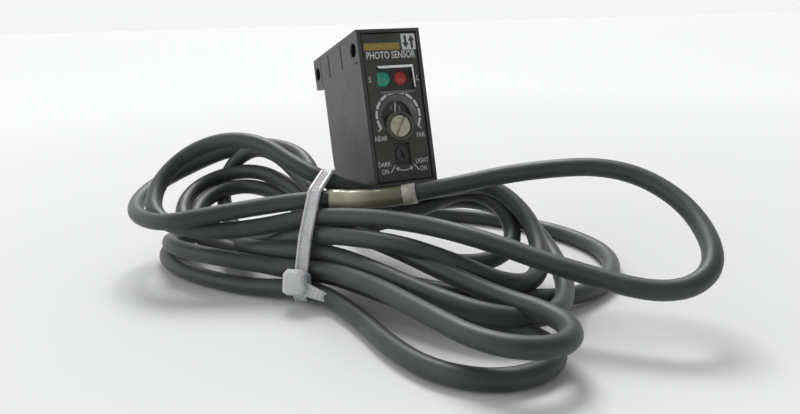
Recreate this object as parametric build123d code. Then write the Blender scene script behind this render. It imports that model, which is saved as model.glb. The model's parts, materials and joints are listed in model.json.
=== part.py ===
"""Photoelectric sensor with a distance adjuster, an operation panel and a pre-wired cable.

Every piece of the sensor is drawn upright in the case's own axes: X across the width, Y from the
panel towards the sensing face, Z up from the bottom. A single location then leans it back on the
tied hank of its cable. The row's origin is the middle of the front mounting hole.
"""

import math
import os

from build123d import *

os.makedirs("parts", exist_ok=True)

# ---------------------------------------------------------------- driving dimensions, mm
WIDTH = 20.0
HEIGHT = 46.4
DEPTH = 36.0
WALL = 1.6
LEAN = 14.0                      # how far the case leans back on its cable, degrees
FLOOR_Z = -66.7                  # the surface the cable lies on, below the front mounting hole

# mounting holes for M4 screws, through steel bushes across the width
HOLE_R = 2.1
BUSH_R = 2.55
HOLE_Z = HEIGHT - 5.2
FRONT_HOLE_Y = 4.4
EAR_DEPTH = 7.9
EAR_HEIGHT = 10.2
REAR_HOLE_Y = DEPTH + 4.6
BUSH_LENGTH = WIDTH - 0.2

# upright moulding grooves in both side faces
GROOVE_Y = (15.5, 28.0)
GROOVE_W, GROOVE_DEPTH = 0.84, 0.6

# operation panel
RIM = 1.1
PANEL_Y = 0.3
PANEL_T = 1.1
PANEL_GAP = 0.1
GASKET_T = 0.4
GASKET_W = 0.5

# distance adjuster and its indicator: an internal gear pair behind the panel
TOOTH_MODULE = 0.3
PINION_TEETH = 12
RING_TEETH = 33
PINION_PITCH_R = TOOTH_MODULE * PINION_TEETH / 2
RING_PITCH_R = TOOTH_MODULE * RING_TEETH / 2
GEAR_CENTRES = RING_PITCH_R - PINION_PITCH_R
DIAL_X, DIAL_Z = 0.1, 20.65
SCREW_Z = DIAL_Z - GEAR_CENTRES
DIAL_OPENING_R = 6.15
DIAL_FACE_R = 4.55
BOSS_R = 4.4
SCREW_HEAD_R = 3.3
SCREW_NECK_R = 1.1
RUNNING = 0.05                   # radial clearance of every turning or sliding fit

# operation mode selector
SELECTOR_X, SELECTOR_Z = 0.1, 9.3
SELECTOR_R = 2.1
SELECTOR_STEM_R = 0.9
SELECTOR_REST = 15.0             # arrow's angle from straight down towards the right-hand mark

# indicator lamps and their window
WINDOW_X, WINDOW_Z = 0.7, 31.5
WINDOW_W, WINDOW_H = 11.6, 7.2
GREEN_X, RED_X, LAMP_Z = -2.4, 3.0, 31.9
GREEN_R, RED_R = 2.1, 2.0

# screws which hold the front board to posts in the case
BOARD_SCREW_X = 7.1
BOARD_SCREW_Z = (4.6, 36.8)

# optics behind the sensing face
EMITTER_Z, RECEIVER_Z = 31.2, 19.5
EMITTER_BORE_R, RECEIVER_BORE_R = 2.6, 4.4
RACK_PITCH_R = 0.8
RACK_BACKLASH = 0.04
ROD_X, ROD_Y, ROD_R = 5.6, 24.0, 0.6

# cable: round four-core PVC lead
CABLE_D = 5.0
GLAND_Y, GLAND_Z = 33.0, 4.6
GLAND_DOWN = 42.0                # the gland's angle below the case's depth axis, degrees
GLAND_TAIL = 9.0
CORE_D = 1.1
LABEL_T = 0.3
LABEL_START, LABEL_LENGTH = 12.0, 25.0

# nylon tie round the middle of the hank
TIE_HEADING = -40.0              # direction of the tied strands in plan, degrees
TIE_TOP = (-27.0, -12.0, 26.5)   # the strand at the top of the tied bundle's front row
TIE_W, TIE_T = 3.7, 1.1
TIE_HEAD = (7.0, 5.4, 7.4)         # along the strap, away from the strands, across the strap
BUNDLE_HALF = 10.0               # how far the strands stay together on each side of the tie

# corners of the tied bundle, across and above its top strand: two rows that lean together. The last
# corner is where the strap bows away from the front row.
BUNDLE_STRANDS = [
    (-12.9, -22.5), (-5.8, -20.6), (6.5, -9.7), (9.1, -5.2), (8.5, 3.0), (0.0, 0.0), (-7.75, -10.5),
]

# plan outlines of the hank's lobes on both sides of the tie, and how high each stands
LEFT_LOBES, LEFT_TOP = [
    (-40, -16), (-60, -5), (-74, 3), (-80, 25), (-73, 50), (-57, 59), (-38, 58), (-22, 48), (-14, 24), (-20, 0),
], 38.0
SHORT_LOBES, SHORT_TOP = [
    (-34, -34), (-20, -58), (-7, -76), (9, -79), (25, -67), (34, -48), (34, -28), (24, -10), (8, -5), (-10, -6),
    (-22, -12),
], 22.0
LONG_LOBES, LONG_TOP = [
    (-36, -24), (-31, -46), (-31, -67), (-28, -86), (-18, -101), (-5, -104), (8, -100), (12, -86), (5, -68),
    (-4, -48), (-12, -30), (-24, -16),
], 14.0

# ---------------------------------------------------------------- placement
UPRIGHT_TO_ROW = Location((0, 0, 0), (-LEAN, 0, 0)) * Location((0, -FRONT_HOLE_Y, -HOLE_Z))


def write(name, shape, leaned=True):
    """One STEP for one piece; the sensor's pieces are leaned back, the cable's already lie."""
    placed = UPRIGHT_TO_ROW * shape if leaned else shape
    export_step(placed, f"parts/{name}.step")
    return placed


def block(x0, x1, y0, y1, z0, z1):
    """A box between two corners."""
    return Pos((x0 + x1) / 2, (y0 + y1) / 2, (z0 + z1) / 2) * Box(x1 - x0, y1 - y0, z1 - z0)


def rod_y(x, z, radius, y0, y1):
    """A cylinder along the depth axis."""
    return Pos(x, (y0 + y1) / 2, z) * Rot(90, 0, 0) * Cylinder(radius, y1 - y0)


def rod_x(y, z, radius, x0, x1):
    """A cylinder across the width."""
    return Pos((x0 + x1) / 2, y, z) * Rot(0, 90, 0) * Cylinder(radius, x1 - x0)


def rod_z(x, y, radius, z0, z1):
    """A cylinder along the height."""
    return Pos(x, y, (z0 + z1) / 2) * Cylinder(radius, z1 - z0)


def extruded_x(profile, half_width):
    """A side profile in (y, z) extruded to both sides."""
    return Plane.YZ * extrude(profile, amount=half_width, both=True)


def profile_yz(inset, front):
    """The case's side outline, offset inwards by inset; the rear bottom corner is rounded."""
    low, rear, top = inset, DEPTH - inset, HEIGHT - inset
    corner = [(26.0 + 0.4 * inset, low), (32.9 - 0.72 * inset, 4.1 + 0.72 * inset), (rear, 13.0 - 0.4 * inset)]
    edges = [
        Line((front, low), corner[0]),
        ThreePointArc(*corner),
        Line(corner[2], (rear, top)),
        Line((rear, top), (front, top)),
        Line((front, top), (front, low)),
    ]
    return make_face(edges)


# ---------------------------------------------------------------- case
def gland_axis():
    """Point on the case's rounded corner and outward direction of the cable outlet."""
    angle = math.radians(GLAND_DOWN)
    return Vector(0, GLAND_Y, GLAND_Z), Vector(0, math.cos(angle), -math.sin(angle))


def along_gland(radius, start, end, end_radius=None):
    """A cylinder or cone on the cable outlet's axis, between two distances from its point."""
    point, out = gland_axis()
    plane = Plane(origin=point + out * start, x_dir=(1, 0, 0), z_dir=out)
    if end_radius is None:
        return extrude(plane * Circle(radius), amount=end - start)
    far = Plane(origin=point + out * end, x_dir=(1, 0, 0), z_dir=out)
    return loft([plane * Circle(radius), far * Circle(end_radius)])


def case_shell():
    body = extruded_x(profile_yz(0, 0), WIDTH / 2)
    body = fillet(body.edges().filter_by(Axis.X), 0.35)
    ear = block(-WIDTH / 2, WIDTH / 2, DEPTH - 1.0, DEPTH + EAR_DEPTH, HEIGHT - EAR_HEIGHT, HEIGHT)
    ear = fillet(ear.edges().filter_by(Axis.X).sort_by(Axis.Y)[-2:], 0.8)
    body += ear
    body -= extruded_x(profile_yz(WALL, PANEL_Y + PANEL_T + GASKET_T), WIDTH / 2 - WALL)
    body -= block(-WIDTH / 2 + RIM, WIDTH / 2 - RIM, -1, PANEL_Y + PANEL_T + GASKET_T, RIM, HEIGHT - RIM)
    for y in (FRONT_HOLE_Y, REAR_HOLE_Y):
        body -= rod_x(y, HOLE_Z, BUSH_R, -WIDTH, WIDTH)
    for side in (-1, 1):
        low_x, high_x = sorted((side * (WIDTH / 2 + 0.5), side * (WIDTH / 2 - GROOVE_DEPTH)))
        body -= block(low_x, high_x, DEPTH + 0.5, DEPTH + 1.0, HEIGHT - EAR_HEIGHT - 1, HEIGHT + 1)
        for y in GROOVE_Y:
            body -= block(low_x, high_x, y - GROOVE_W / 2, y + GROOVE_W / 2, HEIGHT - 8.7, HEIGHT - 1.4)
        body -= block(low_x, high_x, 1.6, 5.0, HEIGHT - 9.3, HEIGHT - 9.05)
    body -= block(-7.2, 7.2, DEPTH - 1.2, DEPTH + 1, 8.8, 35.2)
    body -= block(-6.2, 6.2, DEPTH - 3, DEPTH + 1, 9.8, 34.2)
    body -= along_gland(4.4, -0.9, 8)
    body -= along_gland(3.1, -8, 1)
    for side in (-1, 1):
        for z in BOARD_SCREW_Z:
            post = rod_y(side * BOARD_SCREW_X, z, 1.5, 6.25, 10.0)
            body += post - rod_y(side * BOARD_SCREW_X, z, 0.65, 6.0, 9.0)
    return body


def mounting_bush(y):
    tube = rod_x(y, HOLE_Z, BUSH_R, -BUSH_LENGTH / 2, BUSH_LENGTH / 2)
    return tube - rod_x(y, HOLE_Z, HOLE_R, -WIDTH, WIDTH)


def lens_window():
    pane = block(-7.15, 7.15, DEPTH - 1.15, DEPTH - 0.15, 8.85, 35.15)
    return fillet(pane.edges().filter_by(Axis.Y), 0.6)


# ---------------------------------------------------------------- panel
def panel_cover():
    half_w = WIDTH / 2 - RIM - PANEL_GAP
    low, high = RIM + PANEL_GAP, HEIGHT - RIM - PANEL_GAP
    plate = block(-half_w, half_w, PANEL_Y, PANEL_Y + PANEL_T, low, high)
    front_edges = plate.faces().sort_by(Axis.Y)[0].edges()
    plate = chamfer(front_edges, 0.35)
    plate -= block(
        WINDOW_X - WINDOW_W / 2 - 0.05, WINDOW_X + WINDOW_W / 2 + 0.05, -1, 3,
        WINDOW_Z - WINDOW_H / 2 - 0.05, WINDOW_Z + WINDOW_H / 2 + 0.05,
    )
    plate -= rod_y(DIAL_X, DIAL_Z, DIAL_OPENING_R, -1, 3)
    plate -= rod_y(DIAL_X, SCREW_Z, BOSS_R + 0.05, -1, 3)
    plate -= block(SELECTOR_X - 2.7, SELECTOR_X + 2.4, -1, 3, SELECTOR_Z - 3.2, SELECTOR_Z + 3.3)
    return plate


def panel_gasket():
    half_w = WIDTH / 2 - RIM - PANEL_GAP
    y0 = PANEL_Y + PANEL_T
    low, high = RIM + PANEL_GAP, HEIGHT - RIM - PANEL_GAP
    ring = block(-half_w, half_w, y0, y0 + GASKET_T, low, high)
    return ring - block(-half_w + GASKET_W, half_w - GASKET_W, 0, 9, low + GASKET_W, high - GASKET_W)


def indicator_window():
    half_w, half_h = WINDOW_W / 2, WINDOW_H / 2
    pane = block(WINDOW_X - half_w, WINDOW_X + half_w, -0.35, 1.3, WINDOW_Z - half_h, WINDOW_Z + half_h)
    return chamfer(pane.faces().sort_by(Axis.Y)[0].edges(), 0.6)


def lamp(x, radius):
    """A through-board indicator lamp: domed body, rim and two legs."""
    body = rod_y(x, LAMP_Z, radius, 2.9, 4.7)
    dome = Pos(x, 2.9, LAMP_Z) * scale(Sphere(radius), by=(1, 0.55, 1))
    body += dome
    body += rod_y(x, LAMP_Z, radius + 0.25, 4.7, 5.15)
    for side in (-1, 1):
        body += block(x + side * 0.9 - 0.15, x + side * 0.9 + 0.15, 5.15, 7.2, LAMP_Z - 0.15, LAMP_Z + 0.15)
    return body


def lamp_shade():
    """Black frame between the lamps, which keeps their light apart."""
    half_w, half_h = WINDOW_W / 2 + 0.4, WINDOW_H / 2 + 0.4
    frame = block(WINDOW_X - half_w, WINDOW_X + half_w, 1.85, 5.15, WINDOW_Z - half_h, WINDOW_Z + half_h)
    frame -= rod_y(GREEN_X, LAMP_Z, GREEN_R + 0.35, 1, 6)
    frame -= rod_y(RED_X, LAMP_Z, RED_R + 0.35, 1, 6)
    return frame


# ---------------------------------------------------------------- adjuster and indicator
def tooth_ring(teeth, root_r, tip_r, root_half, tip_half, phase):
    """Outline of a gear: straight-sided teeth from the root circle to the tip circle."""
    points = []
    for index in range(teeth):
        centre = phase + 360.0 * index / teeth
        for angle, radius in ((-root_half, root_r), (-tip_half, tip_r), (tip_half, tip_r), (root_half, root_r)):
            turn = math.radians(centre + angle)
            points.append((radius * math.cos(turn), radius * math.sin(turn)))
    return make_face(Polyline(*points, close=True))


def facing_panel(x, z, y):
    """Plane whose normal points out of the panel, so its x is to the right seen from the front."""
    return Plane(origin=(x, y, z), x_dir=(1, 0, 0), z_dir=(0, -1, 0))


def adjuster_pinion():
    """Twelve teeth; one tooth points straight down, into a gap of the indicator's ring."""
    outline = tooth_ring(
        PINION_TEETH, PINION_PITCH_R - 0.36, PINION_PITCH_R + 0.24, 8.6, 3.6, -90.0,
    )
    wheel = extrude(facing_panel(DIAL_X, SCREW_Z, 2.65) * outline, amount=0.7)
    return wheel - rod_y(DIAL_X, SCREW_Z, SCREW_NECK_R, 1, 4)


def indicator_dial():
    """Cup with internal teeth, the pointer's face in its floor, and a shaft to the optics."""
    cup = rod_y(DIAL_X, DIAL_Z, 5.9, 1.95, 3.5)
    gap_phase = -90.0
    hollow = tooth_ring(
        RING_TEETH, RING_PITCH_R - 0.22, RING_PITCH_R + 0.38, 3.4, 1.75, gap_phase,
    )
    cup -= extrude(facing_panel(DIAL_X, DIAL_Z, 2.9) * hollow, amount=2.0)
    cup += rod_y(DIAL_X, DIAL_Z, RACK_PITCH_R - 0.05, 3.5, 21.9)
    pinion = tooth_ring(8, RACK_PITCH_R - 0.18, RACK_PITCH_R + 0.16, 12.0, 5.5, 0.0)
    cup += extrude(facing_panel(DIAL_X, DIAL_Z, 21.9) * pinion, amount=2.2)
    return cup


def dial_bezel():
    """Conical grey ring around the indicator, cut into a crescent by the adjuster's boss."""
    ring = rod_y(DIAL_X, DIAL_Z, DIAL_OPENING_R - 0.03, PANEL_Y, 1.85)
    front = facing_panel(DIAL_X, DIAL_Z, PANEL_Y - 0.01)
    back = facing_panel(DIAL_X, DIAL_Z, 1.5)
    ring -= loft([back * Circle(DIAL_FACE_R), front * Circle(DIAL_OPENING_R - 0.25)])
    ring -= rod_y(DIAL_X, DIAL_Z, DIAL_FACE_R, 1, 3)
    return ring - rod_y(DIAL_X, SCREW_Z, BOSS_R + 0.05, -1, 3)


def adjuster_boss():
    """Raised collar which carries the adjuster screw in front of the indicator."""
    boss = rod_y(DIAL_X, SCREW_Z, BOSS_R, -0.5, 1.8)
    boss = fillet(boss.faces().sort_by(Axis.Y)[0].edges(), 0.35)
    boss -= rod_y(DIAL_X, SCREW_Z, SCREW_HEAD_R + 0.2, -2, 1.2)
    return boss - rod_y(DIAL_X, SCREW_Z, SCREW_NECK_R + RUNNING, -2, 3)


def adjuster_screw():
    head = rod_y(DIAL_X, SCREW_Z, SCREW_HEAD_R, -0.35, 0.7)
    head = chamfer(head.faces().sort_by(Axis.Y)[0].edges(), 0.3)
    slot = Pos(DIAL_X, -0.35, SCREW_Z) * Rot(0, -58, 0) * Box(8, 1.3, 0.75)
    head -= slot
    return head + rod_y(DIAL_X, SCREW_Z, SCREW_NECK_R, 0.7, 2.75)


def adjuster_seal():
    """O-ring between the adjuster's head and the floor of its boss."""
    return Pos(DIAL_X, 0.95, SCREW_Z) * Rot(90, 0, 0) * Torus(1.75, 0.23)


def dial_bridge():
    """Bearing plate of the indicator's shaft, on two feet on the front board."""
    plate = block(-7.4, 7.4, 3.8, 4.6, DIAL_Z - 2.2, DIAL_Z + 2.2)
    for side in (-1, 1):
        plate += block(side * 6.9 - 0.5, side * 6.9 + 0.5, 4.6, 5.2, DIAL_Z - 2.2, DIAL_Z + 2.2)
    return plate - rod_y(DIAL_X, DIAL_Z, RACK_PITCH_R - 0.05 + RUNNING, 3, 6)


# ---------------------------------------------------------------- mode selector
def selector_bezel():
    plate = block(SELECTOR_X - 3.6, SELECTOR_X + 3.6, 1.45, 2.3, SELECTOR_Z - 4.1, SELECTOR_Z + 3.6)
    return plate - rod_y(SELECTOR_X, SELECTOR_Z, SELECTOR_R + 0.1, 0, 4)


def mode_selector():
    """Rotor with an arrow-shaped driver slot."""
    rotor = rod_y(SELECTOR_X, SELECTOR_Z, SELECTOR_R, 1.0, 2.4)
    arrow = make_face(Polyline(
        (-0.3, 1.5), (0.3, 1.5), (0.3, -0.3), (0.95, -0.3), (0, -1.7), (-0.95, -0.3), (-0.3, -0.3), close=True,
    ))
    plane = facing_panel(SELECTOR_X, SELECTOR_Z, 1.7)
    rotor -= extrude(plane * Rot(0, 0, SELECTOR_REST) * arrow, amount=2.0)
    return rotor + rod_y(SELECTOR_X, SELECTOR_Z, SELECTOR_STEM_R, 2.4, 4.6)


def selector_switch():
    """Body of the rotary switch on the front board."""
    body = block(SELECTOR_X - 3.2, SELECTOR_X + 3.2, 2.75, 5.15, SELECTOR_Z - 3.2, SELECTOR_Z + 3.2)
    body = chamfer(body.edges().filter_by(Axis.Y), 0.5)
    return body - rod_y(SELECTOR_X, SELECTOR_Z, SELECTOR_STEM_R + RUNNING, 2, 4.8)


# ---------------------------------------------------------------- electronics
def front_board():
    board = block(-8.1, 8.1, 5.2, 6.2, 2.8, 38.2)
    board -= rod_y(DIAL_X, DIAL_Z, 1.4, 4, 8)
    for side in (-1, 1):
        for z in BOARD_SCREW_Z:
            board -= rod_y(side * BOARD_SCREW_X, z, 0.8, 4, 8)
        board -= block(side * 0.9 + GREEN_X - 0.2, side * 0.9 + GREEN_X + 0.2, 4, 8, LAMP_Z - 0.2, LAMP_Z + 0.2)
        board -= block(side * 0.9 + RED_X - 0.2, side * 0.9 + RED_X + 0.2, 4, 8, LAMP_Z - 0.2, LAMP_Z + 0.2)
    return board


def board_screw(x, z):
    head = rod_y(x, z, 1.15, 4.45, 5.15)
    head -= block(x - 2, x + 2, 4.3, 4.75, z - 0.15, z + 0.15)
    return head + rod_y(x, z, 0.6, 5.15, 8.8)


def board_header():
    """Pin row which joins the front board to the main board."""
    body = block(4.2, 5.6, 6.25, 8.4, 26.0, 36.0)
    for index in range(4):
        z = 27.5 + index * 2.35
        body += block(5.6, 6.75, 7.2, 7.5, z - 0.15, z + 0.15)
    return body


def main_board():
    return block(6.8, 7.8, 7.0, 21.0, 6.4, 34.5)


def chips():
    control = block(5.5, 6.75, 10.5, 15.5, 17.0, 23.5)
    driver = block(5.7, 6.75, 9.5, 12.5, 9.0, 12.5)
    amplifier = block(5.7, 6.75, 16.5, 19.5, 27.5, 31.0)
    return [chamfer(chip.faces().sort_by(Axis.X)[0].edges(), 0.15) for chip in (control, driver, amplifier)]


def capacitors():
    cans = []
    for y, z, radius in ((9.8, 15.0, 1.3), (17.6, 10.0, 1.7), (18.0, 15.0, 1.3)):
        can = rod_x(y, z, radius, 3.2, 6.75)
        cans.append(fillet(can.faces().sort_by(Axis.X)[0].edges(), 0.2))
    return cans


def shield_can():
    """Thin metal cover over the receiver's amplifier."""
    shell = block(4.4, 6.75, 15.2, 20.7, 26.2, 32.4)
    return shell - block(4.7, 7.0, 15.5, 20.4, 26.5, 32.1)


# ---------------------------------------------------------------- optics
def optical_block():
    block_body = block(-7.4, 7.4, 27.0, 34.0, 11.0, 35.0)
    block_body -= rod_y(0, EMITTER_Z, EMITTER_BORE_R, 26, 35)
    block_body -= rod_y(0, EMITTER_Z, EMITTER_BORE_R + 0.7, 32.2, 35)
    block_body -= rod_y(0, RECEIVER_Z, RECEIVER_BORE_R, 26, 35)
    block_body -= rod_y(0, RECEIVER_Z, RECEIVER_BORE_R + 0.8, 31.4, 35)
    for z in (11.0, 26.6):
        lug = block(-7.4, 7.4, 22.7, 27.0, z, z + 1.5)
        for side in (-1, 1):
            lug -= rod_z(side * ROD_X, ROD_Y, ROD_R, z - 1, z + 3)
        block_body += lug
    return block_body


def lens(z, radius, back, front, bulge):
    """Plano-convex lens; the bulge faces the outside."""
    rim = rod_y(0, z, radius, back, front)
    cap_r = (radius * radius + bulge * bulge) / (2 * bulge)
    cap = Pos(0, front + bulge - cap_r, z) * Sphere(cap_r)
    return rim + (cap & rod_y(0, z, radius, front, front + bulge + 1))


def light_filter():
    return rod_y(0, RECEIVER_Z, RECEIVER_BORE_R - 0.05, 29.9, 30.7)


def emitter_lamp():
    body = rod_y(0, EMITTER_Z, 1.5, 27.2, 29.6) + Pos(0, 29.6, EMITTER_Z) * Sphere(1.5)
    body += rod_y(0, EMITTER_Z, 1.9, 26.4, 27.2)
    for side in (-1, 1):
        body += block(side * 0.8 - 0.15, side * 0.8 + 0.15, 23.0, 26.4, EMITTER_Z - 0.15, EMITTER_Z + 0.15)
    return body


def emitter_board():
    board = block(-4.0, 4.0, 22.2, 23.0, 29.0, 34.4)
    for side in (-1, 1):
        board += block(side * 3.3 - 0.6, side * 3.3 + 0.6, 23.0, 26.95, 32.6, 34.4)
    return board


def guide_rods():
    return [rod_z(side * ROD_X, ROD_Y, ROD_R, 11.1, 28.0) for side in (-1, 1)]


def receiver_carriage():
    """Slide on the two rods, with the rack that the indicator's shaft drives."""
    low, high = 15.2, 24.0
    body = block(-6.8, 6.8, 22.5, 25.4, low, high)
    for side in (-1, 1):
        body -= rod_z(side * ROD_X, ROD_Y, ROD_R + RUNNING, low - 1, high + 1)
    rack_x = DIAL_X + RACK_PITCH_R + RACK_BACKLASH
    body += block(rack_x + 0.3, rack_x + 1.7, 19.8, 22.5, low, 25.8)
    pitch = 2 * math.pi * RACK_PITCH_R / 8
    tooth = make_face(Polyline((0.35, -0.23), (0.35, 0.23), (-0.1, 0.08), (-0.1, -0.08), close=True))
    for index in range(-7, 9):
        z = DIAL_Z + (index + 0.5) * pitch
        if low + 0.3 < z < 25.5:
            body += extrude(Plane(origin=(rack_x, 22.5, z), x_dir=(1, 0, 0), z_dir=(0, -1, 0)) * tooth, amount=2.7)
    return body


def photodiode():
    chip = block(-2.4, 2.4, 25.4, 26.3, RECEIVER_Z - 2.0, RECEIVER_Z + 2.0)
    return chamfer(chip.faces().sort_by(Axis.Y)[-1].edges(), 0.2)


# ---------------------------------------------------------------- cable outlet
def cable_gland():
    gland = along_gland(4.3, -0.9, 0.9)
    gland += along_gland(3.05, -3.0, -0.9)
    gland += along_gland(4.1, 0.9, GLAND_TAIL, 3.1)
    return gland - along_gland(CABLE_D / 2, -4, GLAND_TAIL + 1)


def cable_stub():
    """End of the jacket inside the case, with its four cores cut to the terminals."""
    jacket = along_gland(CABLE_D / 2, -5.0, GLAND_TAIL)
    return jacket


def inner_cores():
    cores = []
    point, out = gland_axis()
    start = point + out * -5.0
    for index in range(4):
        x = -1.2 + 0.8 * index
        first = Vector(x, start.Y - 0.4 * (index % 2), start.Z + 0.3 + 0.5 * (index % 2))
        last = Vector(4.2, 11.0 + 2.2 * index, 7.2)
        line = Line(first, last)
        cores.append(sweep(Plane(origin=line @ 0, z_dir=line % 0) * Circle(0.32), path=line))
    return cores


# ---------------------------------------------------------------- cable on the floor
def up(height):
    """A height above the surface the cable lies on, as a row coordinate."""
    return FLOOR_Z + height


def lead_route():
    """From the gland round the long lobe that lies on the surface, to the hank."""
    point, out = gland_axis()
    tail = UPRIGHT_TO_ROW * Pos(*(point + out * GLAND_TAIL))
    ahead = UPRIGHT_TO_ROW * Pos(*(point + out * (GLAND_TAIL + 9.0)))
    return [
        tuple(tail.position), tuple(ahead.position),
        (6, 44, up(3)), (22, 48, up(2.6)), (42, 34, up(2.6)), (56, 12, up(2.6)), (62, -10, up(2.6)),
        (60, -32, up(2.6)), (48, -50, up(2.6)), (30, -60, up(3)), (12, -60, up(5)), (-8, -46, up(6)),
    ]


def loop_route():
    """The big loop that stands off to the right, from the tie through the label and back."""
    return [
        (-27, -12, up(26.5)), (-12, -19, up(25.5)), (5, -28, up(29)), (24, -40, up(34)), (45, -53, up(35.5)),
        (53, -71, up(28)), (45, -91, up(18)), (30, -92, up(13)), (16, -74, up(16)), (0, -52, up(22)),
        (-14, -34, up(24)),
    ]


def tail_route():
    """The last stretch of the cable, behind the hank."""
    return [(-37, 52, up(2.6)), (-24, 56, up(2.6)), (-12, 58, up(2.6)), (-2, 60, up(2.6))]


def tube_path(route):
    """Straight runs joined by tangent arcs, each as large as its two runs allow."""
    points = [Vector(*p) for p in route]
    radii = []
    for before, here, after in zip(points, points[1:], points[2:]):
        turn = math.radians((here - before).get_angle(after - here))
        shorter = min((here - before).length, (after - here).length)
        radii.append(0.45 * shorter / math.tan(turn / 2))
    print("radii", [round(r, 1) for r in radii])
    return FilletPolyline(*points, radius=radii)


def tube(route):
    """The cable's round jacket along a route."""
    path = tube_path(route)
    section = Plane(origin=path @ 0, z_dir=path % 0) * Circle(CABLE_D / 2)
    solid = sweep(section, path=path)
    expected = math.pi * (CABLE_D / 2) ** 2 * path.length
    print("tube length", round(path.length, 1), "volume ratio", round(solid.volume / expected, 4))
    return solid


def rounded_slab(corners, radius, top):
    """A closed solid on the surface with a rounded plan and a softened top edge."""
    outline = make_face(Polyline(*corners, close=True))
    outline = fillet(outline.vertices(), radius)
    slab = extrude(Pos(0, 0, FLOOR_Z) * outline, amount=top)
    return fillet(slab.faces().sort_by(Axis.Z)[-1].edges(), 3.0)


def tie_plane():
    """Cross-section of the tied bundle at its top strand: x is level, y is up, z runs along the strands."""
    along = math.radians(TIE_HEADING)
    x, y, height = TIE_TOP
    return Plane(
        origin=(x, y, up(height)),
        x_dir=(-math.sin(along), math.cos(along), 0),
        z_dir=(math.cos(along), math.sin(along), 0),
    )


def round_bundle(clearance):
    """Outline that goes round the bundle's strands at a distance from their surfaces."""
    return offset(make_face(Polyline(*BUNDLE_STRANDS, close=True)), amount=CABLE_D / 2 + clearance)


def cable_hank():
    """Outer shape of the tied turns: lobes on both sides of the tie, and the bundle inside it."""
    hank = extrude(tie_plane() * round_bundle(-0.1), amount=BUNDLE_HALF, both=True)
    for outline, top in ((LEFT_LOBES, LEFT_TOP), (SHORT_LOBES, SHORT_TOP), (LONG_LOBES, LONG_TOP)):
        hank += rounded_slab(outline, 6, top)
    reach = TIE_HEAD[2] / 2 + 0.4
    clear_of_tie = extrude(tie_plane() * round_bundle(12), amount=reach, both=True)
    clear_of_tie -= extrude(tie_plane() * round_bundle(-0.1), amount=reach + 1, both=True)
    return hank - clear_of_tie


def cable_tie():
    """Nylon tie: strap round the bundle, head with the cut tail of the strap."""
    tie = extrude(tie_plane() * (round_bundle(TIE_T) - round_bundle(0.0)), amount=TIE_W / 2, both=True)
    lowest, bow = Vector(*BUNDLE_STRANDS[0]), Vector(*BUNDLE_STRANDS[-1])
    tilt = math.degrees(math.atan2(bow.Y - lowest.Y, bow.X - lowest.X))
    away = CABLE_D / 2 + 0.3 + TIE_HEAD[1] / 2
    head_place = Pos(*lowest) * Rot(0, 0, tilt) * Pos(2.0, away, 0)
    head = head_place * chamfer(Box(*TIE_HEAD).edges(), 0.5)
    tail = head_place * Pos(-5.0, 0.6, 0) * Box(4.2, TIE_T, TIE_W)
    for piece in (head, tail):
        tie += tie_plane().location * piece
    return tie


def wiring_label():
    """Clear sleeve on the first stretch of the loop, close under the case."""
    path = tube_path(loop_route())
    path = path.trim(LABEL_START / path.length, (LABEL_START + LABEL_LENGTH) / path.length)
    ring = Circle(CABLE_D / 2 + LABEL_T) - Circle(CABLE_D / 2)
    return sweep(Plane(origin=path @ 0, z_dir=path % 0) * ring, path=path)


def core_end(side_way, up_way, spread):
    """One insulated core that leaves the end of the jacket and spreads on the surface."""
    last, before = Vector(*tail_route()[-1]), Vector(*tail_route()[-2])
    along = (last - before).normalized()
    side = Vector(-along.Y, along.X, 0)
    start = last + along * 0.02 + side * (0.62 * side_way) + Vector(0, 0, 0.62 * up_way)
    middle = start + along * 9 + side * (0.3 * spread)
    middle.Z = up(2.1 + 0.8 * up_way)
    end = middle + along * 15 + side * spread
    end.Z = up(0.7)
    path = FilletPolyline(start, middle, end, radius=14)
    return sweep(Plane(origin=path @ 0, z_dir=path % 0) * Circle(CORE_D / 2), path=path)


# ---------------------------------------------------------------- build
ROOT_PIECES = {
    "case_shell": case_shell(),
    "mounting_bush_front": mounting_bush(FRONT_HOLE_Y),
    "mounting_bush_rear": mounting_bush(REAR_HOLE_Y),
    "lens_window": lens_window(),
    "panel_cover": panel_cover(),
    "panel_gasket": panel_gasket(),
    "indicator_window": indicator_window(),
    "lamp_green": lamp(GREEN_X, GREEN_R),
    "lamp_red": lamp(RED_X, RED_R),
    "lamp_shade": lamp_shade(),
    "dial_bezel": dial_bezel(),
    "adjuster_boss": adjuster_boss(),
    "adjuster_seal": adjuster_seal(),
    "dial_bridge": dial_bridge(),
    "selector_bezel": selector_bezel(),
    "selector_switch": selector_switch(),
    "front_board": front_board(),
    "board_header": board_header(),
    "main_board": main_board(),
    "shield_can": shield_can(),
    "optical_block": optical_block(),
    "emitter_lens": lens(EMITTER_Z, EMITTER_BORE_R + 0.65, 32.2, 33.2, 0.9),
    "receiver_lens": lens(RECEIVER_Z, RECEIVER_BORE_R + 0.75, 31.4, 32.6, 1.4),
    "light_filter": light_filter(),
    "emitter_lamp": emitter_lamp(),
    "emitter_board": emitter_board(),
    "cable_gland": cable_gland(),
    "cable_stub": cable_stub(),
    "chips": Compound(chips()),
    "capacitors": Compound(capacitors()),
    "guide_rods": Compound(guide_rods()),
    "inner_cores": Compound(inner_cores()),
    "board_screws": Compound([board_screw(s * BOARD_SCREW_X, z) for s in (-1, 1) for z in BOARD_SCREW_Z]),
}
MOVING_PIECES = {
    "adjuster_screw": adjuster_screw(),
    "adjuster_pinion": adjuster_pinion(),
    "indicator_dial": indicator_dial(),
    "mode_selector": mode_selector(),
    "receiver_carriage": receiver_carriage(),
    "photodiode": photodiode(),
}
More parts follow.
